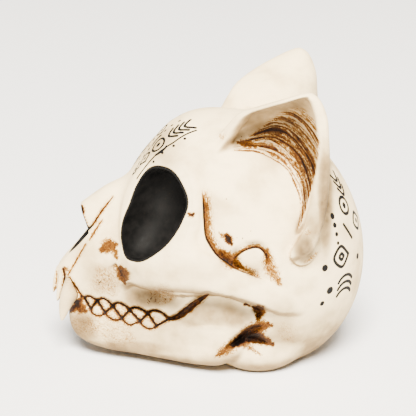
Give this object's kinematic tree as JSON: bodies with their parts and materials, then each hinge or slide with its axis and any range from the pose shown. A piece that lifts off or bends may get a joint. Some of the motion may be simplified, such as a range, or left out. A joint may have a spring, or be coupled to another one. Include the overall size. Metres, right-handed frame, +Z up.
{
  "type": "decorative cat skull figurine",
  "caption": "Stylised resin cat skull figurine with upright hollow ears, deep eye sockets and closed toothed jaws, resting on its flat underside.",
  "frame": {"origin": "centre of the bounding box, on the surface that the figurine rests on", "axes": "+Z up, the face toward -Y, the animal's left side toward +X"},
  "size_m": [0.1076, 0.1492, 0.1416],
  "materials": {
    "bone": "matte cast resin, cream with an antique brown wash in the recesses",
    "fang": "matte cast resin, slightly warmer cream",
    "black_paint": "matte black paint"
  },
  "bodies": {
    "root": {"cranium": "bone", "upper_jaw": "bone", "lower_jaw": "bone", "nose_lining": "black_paint", "cheekbone_left": "bone", "cheekbone_right": "bone", "jaw_knob_left": "bone", "jaw_knob_right": "bone", "ear_left": "bone", "ear_right": "bone", "fang_left": "fang", "fang_right": "fang", "socket_lining_left": "black_paint", "socket_lining_right": "black_paint"}
  },
  "joints": []
}
